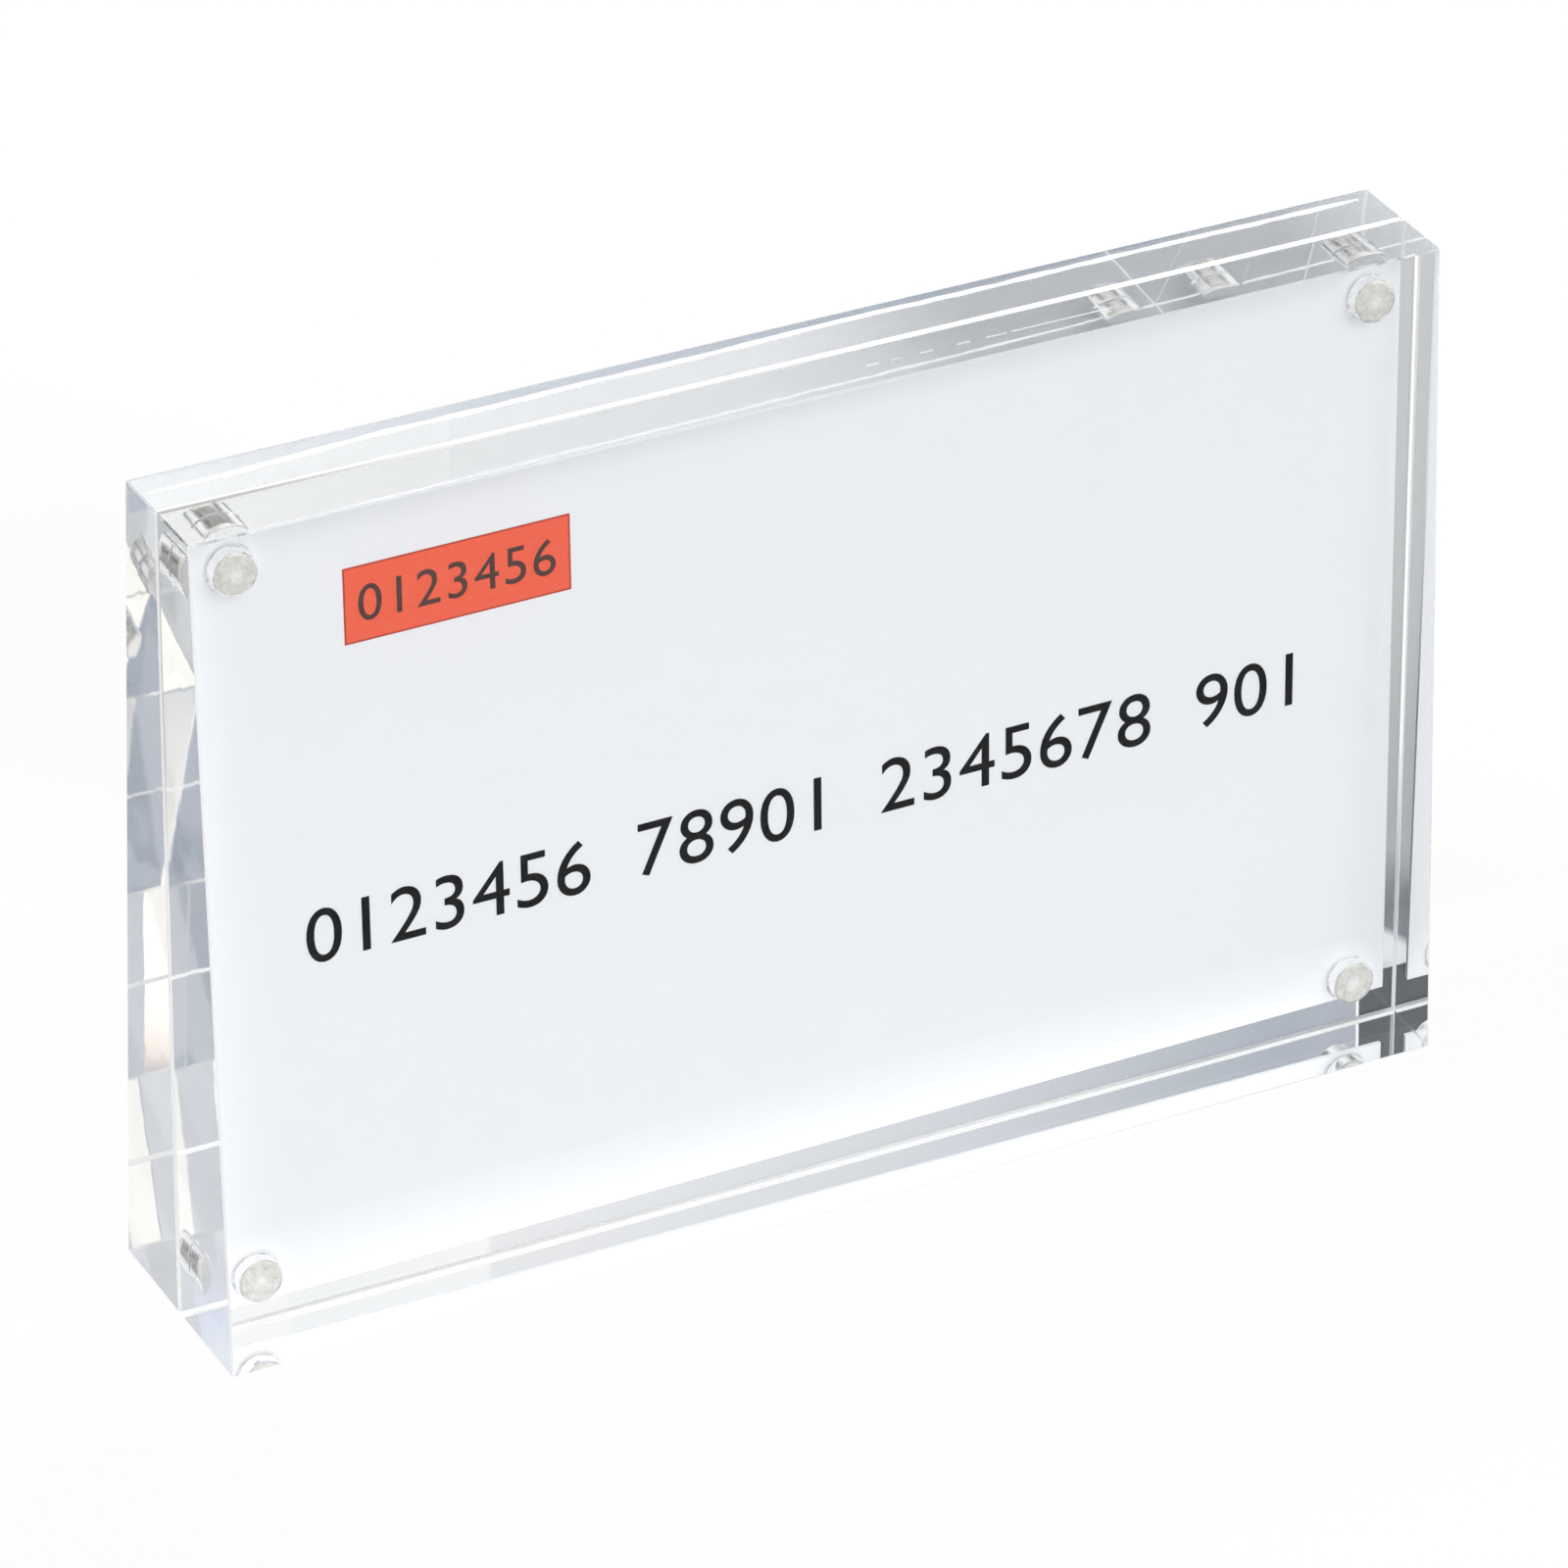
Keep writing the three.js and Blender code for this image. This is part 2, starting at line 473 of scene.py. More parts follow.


# %% [markdown]
# ## Matt strips in the tops
# The tops were polished on a wheel, which left matt marks. Each mark is a narrow strip in the top
# face with the ground finish, set in the same way as the pockets: the top is taken out and filled
# again round the strips. One white strip is a painted highlight. A painted line would do from afar,
# but a strip keeps a sharp edge.

# %% Matt strips in the tops
def matt_strips(builder, strips):
    """Cuts flat strips with the ground finish into the top. A strip is its two long sides."""
    builder.normal_update()
    top_face = max(builder.faces, key=lambda face: face.normal.z * face.calc_area())
    outline = top_face.edges[:]
    bmesh.ops.delete(builder, geom=[top_face], context="FACES_ONLY")
    for one_side, other_side in strips:
        firsts = [builder.verts.new((across, depth, block_high.z)) for across, depth in one_side]
        seconds = [builder.verts.new((across, depth, block_high.z)) for across, depth in other_side]
        for step in range(len(firsts) - 1):
            after = step + 1
            corners = [firsts[step], firsts[after], seconds[after], seconds[step]]
            builder.faces.new(corners).material_index = ground
        loop = firsts + seconds[::-1]
        for step, point in enumerate(loop):
            after = loop[(step + 1) % len(loop)]
            outline.append(builder.edges.get((point, after)) or builder.edges.new((point, after)))
    bmesh.ops.triangle_fill(builder, use_beauty=True, edges=outline)


# %% [markdown]
# ## Wheel line and scratches
# A wavy white matt line along the rear block is a painted highlight of the light on the edge that
# the wheel rolled, and the front one has a row of short scratches.
# The waves come from `mathutils.noise`, which is the same at every run, so the line never changes.

# %% Highlight line and scratches
line_start = block_low.x + 1.0 * MM
line_end = block_high.x - 2.2 * MM
line_steps = 180
line_inset = 1.85  # millimetres from the outer edge
left_swerve = 1.9  # millimetres farther in at the left end
line_half_width = 0.45  # millimetres


def waver(share, waves, lane, size):
    """A smooth wander along the line. Each lane of the noise gives another wander."""
    return size * noise.noise((waves * share, lane, 0.0))


def painted_highlight_line():
    """A wavy white matt strip along the outer edge of the rear block: a painted highlight of the
    light on the edge that the buffing wheel rolled.
    """
    one_side, other_side = [], []
    for step in range(line_steps + 1):
        share = step / line_steps
        inset = line_inset + left_swerve * (1.0 - share) ** 3
        inset += waver(share, waves=8.0, lane=0.0, size=0.4)
        inset += waver(share, waves=60.0, lane=3.0, size=0.12)
        taper = min(1.0, 12.0 * share + 0.2, 40.0 * (1.0 - share) + 0.3)
        half_width = line_half_width * taper
        half_width += waver(share, waves=34.0, lane=7.0, size=0.16)
        across = line_start + share * (line_end - line_start)
        one_side.append((across, top_depth - (inset + half_width) * MM))
        other_side.append((across, top_depth - (inset - half_width) * MM))
    return one_side, other_side


scratch_depth = -(mating_depth + top_depth) / 2
scratch_width = 0.16 * MM


def scratch(start, end):
    near, far = scratch_depth - scratch_width / 2, scratch_depth + scratch_width / 2
    return [(start * MM, near), (end * MM, near)], [(start * MM, far), (end * MM, far)]


# Each run goes from one place to another along the width, in millimetres
scratch_runs = [(6.0, 7.5), (9.0, 10.0), (12.5, 14.0), (17.0, 18.5), (20.5, 23.0), (23.6, 36.0)]
top_marks = {
    "front": [scratch(start, end) for start, end in scratch_runs],
    "rear": [painted_highlight_line()],
}
print("marks on the tops:", {half: len(marks) for half, marks in top_marks.items()})

# %% [markdown]
# ## Both blocks
# Both blocks are the same part, turned face to face, so one loop makes them. Smooth shading is
# right for the round pockets, but the big faces have to stay flat. With the crease at 20 degrees
# the narrow edges bend no normals of the faces beside them, and the images inside the glass stay
# straight.

# %% Both blocks
blocks = {}
for half, side in (("front", -1), ("rear", 1)):
    builder = bmesh.new()
    wedge(builder, side)
    break_seam_edges(builder, side)
    scrape_left_edge(builder, side)
    matt_strips(builder, top_marks[half])
    open_pockets(builder, side)
    finishes = [clear_face, broken_edge, drilled_wall, buffed_edge]
    blocks[half] = keep_piece(f"{half}_clear_block", builder, finishes, half,
                              [f"{half}_block"], crease=20.0)
    print(blocks[half].name, "has", len(blocks[half].data.polygons), "faces")

# %% [markdown]
# ## Nickel plating
# Plating on a sintered magnet is never quite even: it has darker specks and fine lines from
# tumbling. The magnets at the left get painted shade and those at the right painted light, so one
# recipe gives three platings.

# %% Nickel plating
def nickel_plate(name, dark, light):
    material, shader = start_material(name)
    tree = material.node_tree
    mottle = object_noise(tree, 1400.0, detail=6.0)
    tree.links.new(two_tone(tree, mottle, dark, light), shader.inputs["Base Color"])
    shader.inputs["Metallic"].default_value = 1.0
    lines = object_noise(tree, 5200.0, detail=3.0, stretch=(1.0, 0.12, 1.0))
    tree.links.new(remap(tree, lines, 0.3, 0.7, 0.16, 0.42), shader.inputs["Roughness"])
    tree.links.new(bump_from(tree, lines, 0.018 * MM), shader.inputs["Normal"])
    return material


# Painted shade for the magnets at the left, painted light for the two at the right.
shade_painted_nickel = nickel_plate("shade_painted_nickel_plate", (0.1, 0.098, 0.092), (0.52, 0.505, 0.48))
light_painted_nickel = nickel_plate("light_painted_nickel_plate", (0.6, 0.585, 0.55), (0.93, 0.91, 0.88))
glare_painted_nickel = nickel_plate("glare_painted_nickel_plate", (0.84, 0.83, 0.8), (0.98, 0.97, 0.95))
platings = {"top_right": light_painted_nickel, "bottom_right": glare_painted_nickel}
print("platings:", shade_painted_nickel.name, light_painted_nickel.name, glare_painted_nickel.name)

# %% [markdown]
# ## Magnets
# The magnets are small discs. Their sizes come from the CAD discs, which have a plain bevel at the
# rim. A turned quarter round takes its place, because a round rim catches a finer highlight.

# %% Magnets
rim_round = 0.25 * MM
rim_steps = 4


def rim(radius, depth, towards, start_flat):
    """Quarter round between a disc's flat face and its side."""
    points = []
    for step in range(rim_steps + 1):
        angle = 0.5 * math.pi * step / rim_steps
        across = radius - rim_round + rim_round * math.sin(angle)
        points.append((across, depth + towards * rim_round * (1.0 - math.cos(angle))))
    return points if start_flat else points[::-1]


def magnet_profile(radius, near, far):
    return [(0.0, near), *rim(radius, near, 1.0, True), *rim(radius, far, -1.0, False), (0.0, far)]


for half, side in (("front", -1), ("rear", 1)):
    for corner, centre in pocket_centres.items():
        low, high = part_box(f"rear_magnet_{corner}")
        builder = bmesh.new()
        profile = magnet_profile((high.x - low.x) / 2, low.y, high.y)
        skin(builder, [ring(builder, centre, radius, depth, side) for radius, depth in profile])
        plating = platings.get(corner, shade_painted_nickel)
        keep_piece(f"{half}_disc_{corner}", builder, [plating], half,
                   [f"{half}_magnet_{corner}"])
print("magnets:", 2 * len(pocket_centres))

# %% [markdown]
# ## Glue
# A drop of clear glue fills the floor of each pocket and holds the magnet. Cured glue is warm grey
# and full of tiny bubbles, and it is what the front of the holder shows as a beige disc.

# %% Glue
def cured_glue():
    material, shader = start_material("cured_glue")
    tree = material.node_tree
    cloud = object_noise(tree, 1300.0, detail=6.0)
    body = tones(tree, cloud, (0.3, (0.64, 0.62, 0.565)), (0.5, (0.8, 0.785, 0.735)),
                 (0.7, (0.88, 0.87, 0.84)))
    across, _, up = parts_of(tree, "Generated")
    side_way = sum_up(tree, "POWER", sum_up(tree, "SUBTRACT", across, 0.5), 2.0)
    height_way = sum_up(tree, "POWER", sum_up(tree, "SUBTRACT", up, 0.5), 2.0)
    from_axis = sum_up(tree, "SQRT", sum_up(tree, "ADD", side_way, height_way))
    froth = sum_up(tree, "ADD", from_axis, remap(tree, cloud, 0.3, 0.7, -0.12, 0.12))
    heart = remap(tree, froth, 0.06, 0.2, 1.0, 0.0)
    tree.links.new(blend(tree, heart, body, (0.95, 0.945, 0.93)), shader.inputs["Base Color"])
    shader.inputs["Roughness"].default_value = 0.3
    bubbles = add_node(tree, "TexVoronoi", {"Scale": 1900.0})
    place = add_node(tree, "TexCoord")
    tree.links.new(place.outputs["Object"], bubbles.inputs["Vector"])
    tree.links.new(bump_from(tree, bubbles.outputs["Distance"], 0.12 * MM), shader.inputs["Normal"])
    return material


glue = cured_glue()


def glue_profile(radius, near, far):
    points = [(0.0, far)]
    for step in range(corner_steps + 1):
        angle = 0.5 * math.pi * step / corner_steps
        across = radius - corner_round + corner_round * math.sin(angle)
        points.append((across, far - corner_round + corner_round * math.cos(angle)))
    return [*points, (radius, near), (0.0, near)]


for half, side in (("front", -1), ("rear", 1)):
    for corner, centre in pocket_centres.items():
        builder = bmesh.new()
        profile = glue_profile(pocket_radius - film, glue_low.y, glue_high.y)
        skin(builder, [ring(builder, centre, radius, depth, side) for radius, depth in profile])
        keep_piece(f"{half}_glue_pool_{corner}", builder, [glue], half,
                   [f"{half}_glue_{corner}"])
print("glue pools:", 2 * len(pocket_centres), "in", glue.name)

# %% [markdown]
# ## The card
# The card is plain smooth white stock. Its CAD solid already has the right shape, so it stays and
# only gets a finish: a faint fibre in the colour and in the surface, and painted shade on its right
# edge low down. The print needs the card's own directions, because the card leans a little, so they
# are measured from its front corners.

# %% White card
def white_card():
    material, shader = start_material("white_card")
    tree = material.node_tree
    fibre = object_noise(tree, 1500.0, detail=6.0, stretch=(1.0, 1.0, 2.5))
    stock = two_tone(tree, fibre, (0.925, 0.935, 0.955), (0.95, 0.96, 0.98))
    facing_right, _, _ = parts_of(tree, "Normal")
    _, _, up = parts_of(tree, "Object")
    # Painted shade: the card's right edge darkens low down.
    shaded_card_edge = sum_up(tree, "MULTIPLY", remap(tree, facing_right, 0.5, 0.9),
                     remap(tree, up, 40.0 * MM, 75.0 * MM, 1.0, 0.0))
    tree.links.new(blend(tree, shaded_card_edge, stock, (0.25, 0.26, 0.28)), shader.inputs["Base Color"])
    shader.inputs["Roughness"].default_value = 0.6
    shader.inputs["Specular IOR Level"].default_value = 0.3
    tree.links.new(bump_from(tree, fibre, 0.004 * MM), shader.inputs["Normal"])
    return material


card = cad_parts["sign_card"]
card.data.materials.clear()
card.data.materials.append(white_card())

card_points = [vertex.co for vertex in card.data.vertices]
card_front = min(point.y for point in card_points)
front_points = [point for point in card_points if point.y - card_front < same_place]
foot_left = min(front_points, key=lambda point: point.x + point.z)
foot_right = max(front_points, key=lambda point: point.x - point.z)
card_right = (foot_right - foot_left).normalized()
card_up = card_right.cross(Vector((0.0, 1.0, 0.0)))
card_middle = sum(front_points, Vector()) / len(front_points)
print(f"card {(foot_right - foot_left).length / MM:.1f} mm wide")
print("the card's up is", [round(part, 4) for part in card_up])

# %% [markdown]
# ## Inks
# Printing ink dries a little unevenly, so each ink mixes two near colours by a fine noise. It is
# duller than the acrylic in front of it, and it reflects little.

# %% Inks
def ink(name, first, second, rough):
    material, shader = start_material(name)
    tree = material.node_tree
    spread = object_noise(tree, 2200.0, detail=5.0)
    tree.links.new(two_tone(tree, spread, first, second), shader.inputs["Base Color"])
    shader.inputs["Roughness"].default_value = rough
    shader.inputs["Specular IOR Level"].default_value = 0.25
    return material


red_ink = ink("red_tag_ink", (0.96, 0.125, 0.06), (0.99, 0.185, 0.105), 0.55)
tag_line_ink = ink("tag_outline_ink", (0.5, 0.06, 0.04), (0.62, 0.09, 0.06), 0.55)
grey_ink = ink("tag_number_ink", (0.08, 0.045, 0.04), (0.125, 0.07, 0.06), 0.55)
black_ink = ink("black_number_ink", (0.004, 0.004, 0.004), (0.012, 0.012, 0.012), 0.5)
print("inks:", red_ink.name, tag_line_ink.name, grey_ink.name, black_ink.name)

# %% [markdown]
# ## Printing on the card
# Ink has almost no thickness, but a thin solid of its own gives it a clean edge and no flicker.
# Numbers come from Blender's own font: a text curve is turned into a mesh, measured, laid on the
# card and raised by the height of the ink. A painted texture could show them too, but not as
# sharply.

# %% Printing helpers
ink_height = 0.02 * MM
weld_distance = 0.001 * MM
curve_steps = 6


def on_card(across, up, lift):
    """A point on the card's front face, in millimetres from its middle."""
    return card_middle + card_right * across * MM + card_up * up * MM + Vector((0.0, -lift, 0.0))


def number_mesh(words):
    curve = bpy.data.curves.new("number", "FONT")
    curve.body = words
    curve.resolution_u = curve_steps
    holder = bpy.data.objects.new("number", curve)
    scene.collection.objects.link(holder)
    shaped = holder.evaluated_get(bpy.context.evaluated_depsgraph_get())
    mesh = bpy.data.meshes.new_from_object(shaped)
    bpy.data.objects.remove(holder)
    return mesh


def raise_print(name, builder, ink_material):
    """Gives flat print the height of the ink and keeps it as a piece that rides on the card."""
    sheet = bmesh.ops.extrude_face_region(builder, geom=builder.faces[:])
    raised = [part for part in sheet["geom"] if isinstance(part, bmesh.types.BMVert)]
    bmesh.ops.translate(builder, verts=raised, vec=(0.0, -ink_height, 0.0))
    return keep_piece(name, builder, [ink_material], "card")


def print_numbers(name, numbers, first, pitch, cap_height, base, ink_material, level):
    """Numbers on an even pitch: first and base are the middle of the first one and its foot."""
    builder = bmesh.new()
    for count, number in enumerate(numbers):
        if number == " ":
            continue
        mesh = number_mesh(number)
        xs = [vertex.co.x for vertex in mesh.vertices]
        tall = max(vertex.co.y for vertex in mesh.vertices)
        size = cap_height / tall
        middle = (min(xs) + max(xs)) / 2
        for vertex in mesh.vertices:
            across = first + count * pitch + (vertex.co.x - middle) * size
            vertex.co = on_card(across, base + vertex.co.y * size, level)
        builder.from_mesh(mesh)
        bpy.data.meshes.remove(mesh)
    bmesh.ops.remove_doubles(builder, verts=builder.verts[:], dist=weld_distance)
    return raise_print(name, builder, ink_material)


def print_patch(name, low, high, ink_material, level):
    builder = bmesh.new()
    corners = [(low[0], low[1]), (high[0], low[1]), (high[0], high[1]), (low[0], high[1])]
    builder.faces.new([builder.verts.new(on_card(*corner, level)) for corner in corners])
    return raise_print(name, builder, ink_material)


# %% [markdown]
# ## The red tag and the numbers
# Plain numbers stand for the print: a row of small ones on a red tag with a thin dark outline, and
# one long row of black ones across the middle. Each row has an even pitch, and the levels put
# outline, tag and numbers one above the other, so that no two inks share a plane.

# %% Red tag and numbers
# Places on the card are in millimetres from its middle
tag_low = (-55.1, 30.2)
tag_high = (-29.0, 38.9)
tag_line = 0.22
line_low = (tag_low[0] - tag_line, tag_low[1] - tag_line)
line_high = (tag_high[0] + tag_line, tag_high[1] + tag_line)
on_paper, on_outline, on_tag = 0.001 * MM, 0.006 * MM, 0.0125 * MM
print_patch("card_tag_outline", line_low, line_high, tag_line_ink, on_paper)
print_patch("card_red_tag", tag_low, tag_high, red_ink, on_outline)
tag_numbers = "0123456"
tag_pitch = 3.4
tag_first = (tag_low[0] + tag_high[0]) / 2 - tag_pitch * (len(tag_numbers) - 1) / 2
print_numbers("card_tag_numbers", tag_numbers, first=tag_first, pitch=tag_pitch, cap_height=4.3,
              base=32.4, ink_material=grey_ink, level=on_tag)
row_numbers = "0123456 78901 2345678 901"
print_numbers("card_number_row", row_numbers, first=-59.0, pitch=4.95, cap_height=6.6,
              base=-7.6, ink_material=black_ink, level=on_paper)
row_count = len(row_numbers.replace(" ", ""))
print("printed", len(tag_numbers), "small numbers and", row_count, "large ones")

# %% [markdown]
# ## Tones of the table
# The holder stands on a white table, but glass shows what lies under and around it. A block is a
# light pipe: its top shows the table under its foot, and its right end shows the table behind. So
# the table carries painted shade and light there: painted shade under the blocks that darkens to
# the right end, a bluish strip of painted shade along the rear foot, a slanting painted shadow
# behind, a painted shadow and a painted pool of caustic light by the right end, painted shade at
# the left, and an apron in front that falls off. The feet end 14 mm from the seam. The first
# coordinate drifts a little, so that no tone ends in a straight line.

# %% Tones of the table
pale_table = (0.88, 0.885, 0.89)
shadow_slant = 0.7  # how far the shadow behind leans to the left as it goes back
no_shadow, full_shadow = (0.0, 0.0, 0.0), (1.0, 1.0, 1.0)
# The second colour doubles the table's tone: a painted pool of caustic light.
unchanged, painted_caustic = (1.0, 1.0, 1.0), (2.0, 2.0, 2.0)


def tones_under(tree, drift, depth):
    """Under the blocks: painted shade, pale at the left and grey at the right."""
    paint = tones(tree, remap(tree, drift, -80.0 * MM, 80.0 * MM),
                  (0.35, (0.84, 0.845, 0.845)), (0.68, (0.83, 0.84, 0.85)),
                  (0.84, (0.56, 0.575, 0.59)))
    return brighter(tree, paint, remap(tree, depth, -1.0 * MM, 1.0 * MM, 0.92, 1.09))


def tones_behind(tree, across, drift, depth):
    """Behind the blocks: a bluish strip of painted shade along the foot, then pale with painted
    shadows.
    """
    strip = tones(tree, remap(tree, across, -75.0 * MM, 75.0 * MM),
                  (0.1, (0.93, 0.935, 0.94)), (0.5, (0.68, 0.72, 0.78)), (0.9, (0.46, 0.52, 0.6)))
    shade = tones(tree, remap(tree, depth, 10.0 * MM, 110.0 * MM),
                  (0.05, (0.45, 0.46, 0.47)), (0.26, (0.42, 0.425, 0.43)),
                  (0.6, (0.48, 0.485, 0.49)))
    # Painted shadow by the rear block's right end, and past it a painted pool of caustic light.
    end_shadow_and_caustic = tones(tree, remap(tree, drift, 50.0 * MM, 75.0 * MM),
                       (0.3, unchanged), (0.42, (0.38, 0.41, 0.45)), (0.62, (0.4, 0.43, 0.47)),
                       (0.7, painted_caustic), (0.84, painted_caustic), (0.92, unchanged))
    farther = remap(tree, depth, 24.0 * MM, 32.0 * MM)
    shade = multiplied(tree, shade, blend(tree, farther, end_shadow_and_caustic, unchanged))
    slant = sum_up(tree, "ADD", across, sum_up(tree, "MULTIPLY", depth, shadow_slant))
    in_shadow = tones(tree, remap(tree, slant, 0.0, 150.0 * MM), (0.06, no_shadow),
                      (0.28, full_shadow), (0.72, full_shadow), (0.94, no_shadow))
    fading = remap(tree, depth, 160.0 * MM, 260.0 * MM, 1.0, 0.0)
    in_shadow = sum_up(tree, "MULTIPLY", in_shadow, fading)
    # Painted shade on the table at the left, behind the blocks.
    beside = remap(tree, across, -110.0 * MM, -85.0 * MM, 1.0, 0.0)
    shade = blend(tree, sum_up(tree, "MAXIMUM", in_shadow, beside), pale_table, shade)
    outside = remap(tree, depth, 13.6 * MM, 14.4 * MM)
    return blend(tree, outside, strip, shade)


def tones_ahead(tree, depth):
    """In front of the blocks: grey close by, then pale, then darker far away."""
    return tones(tree, remap(tree, depth, -400.0 * MM, -15.0 * MM),
                 (0.13, (0.3, 0.3, 0.305)), (0.58, (0.86, 0.86, 0.865)),
                 (0.79, (0.86, 0.86, 0.865)), (0.92, (0.54, 0.545, 0.55)))


def table_tones(tree):
    across, depth, _ = parts_of(tree, "Object")
    cloud = object_noise(tree, 60.0, detail=3.0)
    drift = sum_up(tree, "ADD", across, remap(tree, cloud, 0.3, 0.7, -4.0 * MM, 4.0 * MM))
    behind = remap(tree, depth, 11.4 * MM, 11.9 * MM)
    ahead = remap(tree, depth, -19.0 * MM, -15.0 * MM, 1.0, 0.0)
    table = blend(tree, behind, tones_under(tree, drift, depth),
                  tones_behind(tree, across, drift, depth))
    return blend(tree, ahead, table, tones_ahead(tree, depth))


print("the table's tones run from 400 mm in front to 260 mm behind")

# %% [markdown]
# ## The table top
# The camera should see a white table, and the glass its painted tones. The Light Path node tells
# the two apart: for a camera ray most of the colour is plain white, and the rest is the painted
# table under the room's light, which keeps the object's shadow. Past the tones the table is white
# for glass and metal too, so that they show the same background as the camera. The table lies a
# hair below the feet, so that no two faces share a plane.

# %% The table top
floor_drop = 0.05 * MM
floor_reach = 3.0
half_a_bounce = 0.5  # bounces are whole numbers, so this tells one count from the next
white_share = 0.95
tones_end, white_start = 0.4, 0.5  # metres from the holder


def white_table():
    material, shader = start_material("white_table")
    tree = material.node_tree
    tree.links.new(table_tones(tree), shader.inputs["Base Color"])
    shader.inputs["Roughness"].default_value = 0.9
    shader.inputs["Specular IOR Level"].default_value = 0.0
    glow = add_node(tree, "Emission", {"Color": (1.0, 1.0, 1.0, 1.0), "Strength": 1.0})
    place = add_node(tree, "TexCoord")
    distance = add_node(tree, "VectorMath", operation="LENGTH")
    tree.links.new(place.outputs["Object"], distance.inputs[0])
    far_away = remap(tree, distance.outputs["Value"], tones_end, white_start)
    path = add_node(tree, "LightPath")
    by_glass = sum_up(tree, "MAXIMUM", path.outputs["Is Glossy Ray"],
                      path.outputs["Is Transmission Ray"])
    lights_nothing = sum_up(tree, "LESS_THAN", path.outputs["Diffuse Depth"], half_a_bounce)
    far_away = sum_up(tree, "MULTIPLY", lights_nothing, far_away)
    seen = sum_up(tree, "MAXIMUM", path.outputs["Is Camera Ray"],
                  sum_up(tree, "MULTIPLY", by_glass, far_away))
    share = sum_up(tree, "MULTIPLY", seen, white_share)
    show_mix(tree, share, shader.outputs["BSDF"], glow.outputs["Emission"])
    return material


def stage_sheet(name, corners, material, hidden=False):
    builder = bmesh.new()
    builder.faces.new([builder.verts.new(corner) for corner in corners])
    mesh = bpy.data.meshes.new(name)
    builder.to_mesh(mesh)
    builder.free()
    mesh.materials.append(material)
    sheet = bpy.data.objects.new(name, mesh)
    sheet.visible_camera = not hidden
    scene.collection.objects.link(sheet)
    return sheet


def flat_corners(low, high, level):
    """The four corners of a level sheet, going round."""
    near_side = [(low[0], low[1], level), (high[0], low[1], level)]
    return near_side + [(high[0], high[1], level), (low[0], high[1], level)]


floor_corners = flat_corners((-floor_reach, -floor_reach), (floor_reach, floor_reach), -floor_drop)
floor = stage_sheet("table_top", floor_corners, white_table())
print(floor.name, "is", 2.0 * floor_reach, "m wide")

# %% [markdown]
# ## Panels for the glass
# The end faces of the blocks mirror what stands round the table. As in a product studio, panels out
# of the picture give them light and dark bands. Lamps could light such a panel, but one that shows
# its colour by itself is easier to set. Glass and metal see it, and it lights nothing: after a
# diffuse bounce the Light Path node makes it clear.

# %% Panels for the glass
def lit_paint(name, colour_of, mirrored_once=False):
    """A panel that shows the colour written for each place on it; colour_of gets its tree.

    With mirrored_once, only light paths with exactly one reflection see it.
    """
    material, shader = start_material(name)
    tree = material.node_tree
    shader.inputs["Base Color"].default_value = (0.0, 0.0, 0.0, 1.0)
    shader.inputs["Specular IOR Level"].default_value = 0.0
    tree.links.new(colour_of(tree), shader.inputs["Emission Color"])
    shader.inputs["Emission Strength"].default_value = 1.0
    path = add_node(tree, "LightPath")
    nothing = add_node(tree, "BsdfTransparent")
    unseen = sum_up(tree, "GREATER_THAN", path.outputs["Diffuse Depth"], half_a_bounce)
    if mirrored_once:
        past_one = sum_up(tree, "SUBTRACT", path.outputs["Glossy Depth"], 1.0)
        not_one = sum_up(tree, "GREATER_THAN", sum_up(tree, "ABSOLUTE", past_one), half_a_bounce)
        unseen = sum_up(tree, "MAXIMUM", unseen, not_one)
    show_mix(tree, unseen, shader.outputs["BSDF"], nothing.outputs["BSDF"])
    return material


def glass_only(sheet):
    """Keeps a sheet from lighting the paper and from throwing a shadow."""
    sheet.visible_diffuse = False
    sheet.visible_shadow = False
    return sheet


def board(name, low, high, colour_of):
    """An upright board between two corners, seen by glass and metal only."""
    corners = [low, (high[0], high[1], low[2]), high, (low[0], low[1], high[2])]
    return glass_only(stage_sheet(name, corners, lit_paint(name, colour_of), hidden=True))


# %% [markdown]
# ## Boards and a flag
# One board stands behind at the right, a dark one behind at the left and a tall one in front at the
# right. A dark flag lies on the table in front and shows in a first reflection only. It keeps the
# white table out of the front face, so that black ink looks black.

# %% Boards and a flag
window_cream = (1.26, 1.225, 1.14)
front_cream = (1.22, 1.2, 1.15)
low_cream = (1.04, 1.02, 0.98)
# Painted dispersion: the orange and blue fringes that acrylic would spread at a light edge.
painted_dispersion_orange = (1.1, 0.93, 0.8)
painted_dispersion_blue = (0.74, 0.8, 0.96)


def rear_panel(tree):
    """Grey that darkens to the right, with a cream window above."""
    across, _, up = parts_of(tree, "Generated")
    sweep = tones(tree, across, (0.0, (0.86, 0.865, 0.885)), (0.18, (0.63, 0.65, 0.7)),
                  (0.3, (0.37, 0.41, 0.48)))
    return blend(tree, remap(tree, up, 0.43, 0.58), sweep, window_cream)


def dark_panel(tree):
    return two_tone(tree, object_noise(tree, 6.0), (0.009, 0.014, 0.022), (0.032, 0.043, 0.06))


def front_panel(tree):
    """Cream low down, between two painted dispersion fringes, and blue grey above."""
    _, _, up = parts_of(tree, "Generated")
    return tones(tree, up, (0.11, (0.54, 0.56, 0.6)), (0.13, painted_dispersion_blue), (0.15, low_cream),
                 (0.25, low_cream), (0.3, front_cream), (0.36, front_cream), (0.37, painted_dispersion_orange),
                 (0.38, (0.48, 0.53, 0.6)), (0.55, (0.36, 0.41, 0.49)), (1.0, (0.27, 0.32, 0.41)))


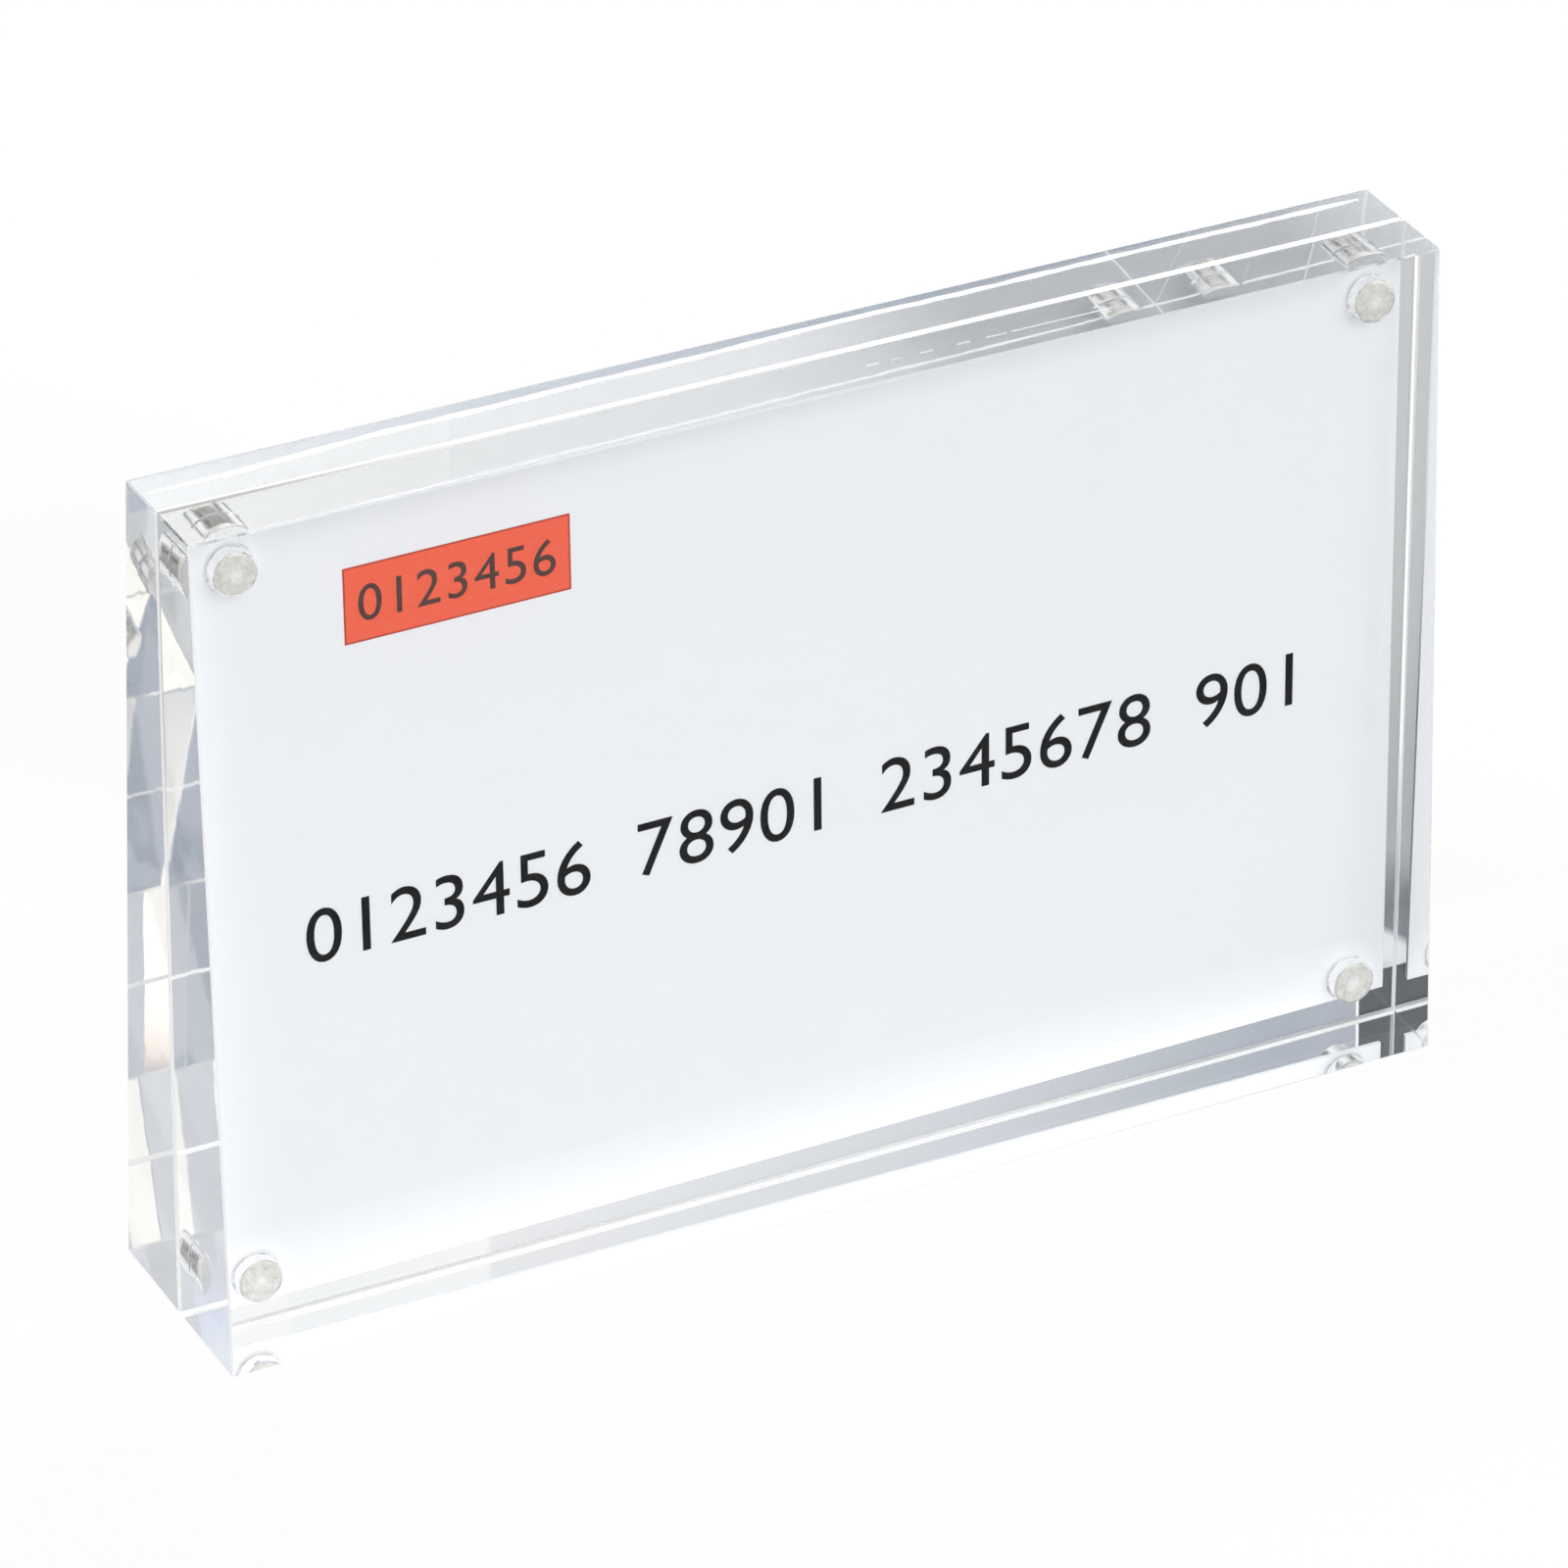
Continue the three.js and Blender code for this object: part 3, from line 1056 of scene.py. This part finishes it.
def flag_panel(tree):
    """Darkest in the middle of its depth."""
    _, depth, _ = parts_of(tree, "Generated")
    return tones(tree, depth, (0.0, (0.6, 0.6, 0.6)), (0.45, (0.25, 0.25, 0.25)),
                 (0.6, (0.04, 0.04, 0.045)), (0.86, (0.04, 0.04, 0.045)), (1.0, (0.3, 0.3, 0.3)))


board("rear_board", low=(0.1, 0.3, 0.0), high=(0.56, 0.3, 0.66), colour_of=rear_panel)
board("dark_board", low=(-0.4, 0.3, 0.05), high=(-0.02, 0.3, 0.5), colour_of=dark_panel)
board("front_board", low=(0.47, -0.15, 0.0), high=(0.12, -0.42, 0.78), colour_of=front_panel)
flag_level = -0.4 * floor_drop  # under the feet and above the table
flag_corners = flat_corners(low=(-0.1, -0.4), high=(0.3, -0.02), level=flag_level)
flag_paint = lit_paint("front_flag", flag_panel, mirrored_once=True)
glass_only(stage_sheet("front_flag", flag_corners, flag_paint, hidden=True))

# %% [markdown]
# ## Room light
# A white room is what the camera and the glass see. As light, the same room is plainer: an even
# ambient level and one big soft window, above and in front at the right. The Light Path node splits
# the two, so that the background is white and the white card is still a shade below it.

# %% Room light
ambient = 0.635
window_direction = Vector((0.40, -0.42, 0.81)).normalized()
window_reach = math.radians(70.0)
window_strength = 1.39


def lit_room():
    """White where glass or the camera looks at it, and a big soft window where it lights things."""
    world = bpy.data.worlds.new("white_room")
    world.use_nodes = True
    tree = world.node_tree
    room = tree.nodes["Background"]
    room.inputs["Color"].default_value = (1.0, 1.0, 1.0, 1.0)
    path = add_node(tree, "LightPath")
    seen = sum_up(tree, "MAXIMUM", path.outputs["Is Camera Ray"], path.outputs["Is Glossy Ray"])
    seen = sum_up(tree, "MAXIMUM", seen, path.outputs["Is Transmission Ray"])
    straight = sum_up(tree, "LESS_THAN", path.outputs["Diffuse Depth"], half_a_bounce)
    shown = sum_up(tree, "MULTIPLY", seen, straight)
    place = add_node(tree, "TexCoord")
    towards = add_node(tree, "VectorMath", {1: window_direction}, operation="DOT_PRODUCT")
    tree.links.new(place.outputs["Generated"], towards.inputs[0])
    window = remap(tree, towards.outputs["Value"], math.cos(window_reach), 1.0,
                   new_high=window_strength)
    lighting = sum_up(tree, "ADD", window, ambient)
    level = add_node(tree, "Mix", {"B": 1.0})
    tree.links.new(shown, level.inputs["Factor"])
    tree.links.new(lighting, level.inputs["A"])
    tree.links.new(level.outputs["Result"], room.inputs["Strength"])
    return world


scene.world = lit_room()
print("lit by", scene.world.name)

# %% [markdown]
# ## How far light may travel
# Light in a clear block bounces many times before it leaves. With too few bounces allowed, the far
# bounces turn black, so the limits go up. The view transform is the plain one, so that a colour
# renders as it is written.

# %% Light paths and view
bounce_limit = 32
scene.cycles.max_bounces = bounce_limit
scene.cycles.glossy_bounces = bounce_limit
scene.cycles.transmission_bounces = bounce_limit
scene.cycles.blur_glossy = 0.0
scene.view_settings.view_transform = "Standard"
print("light may bounce", bounce_limit, "times")
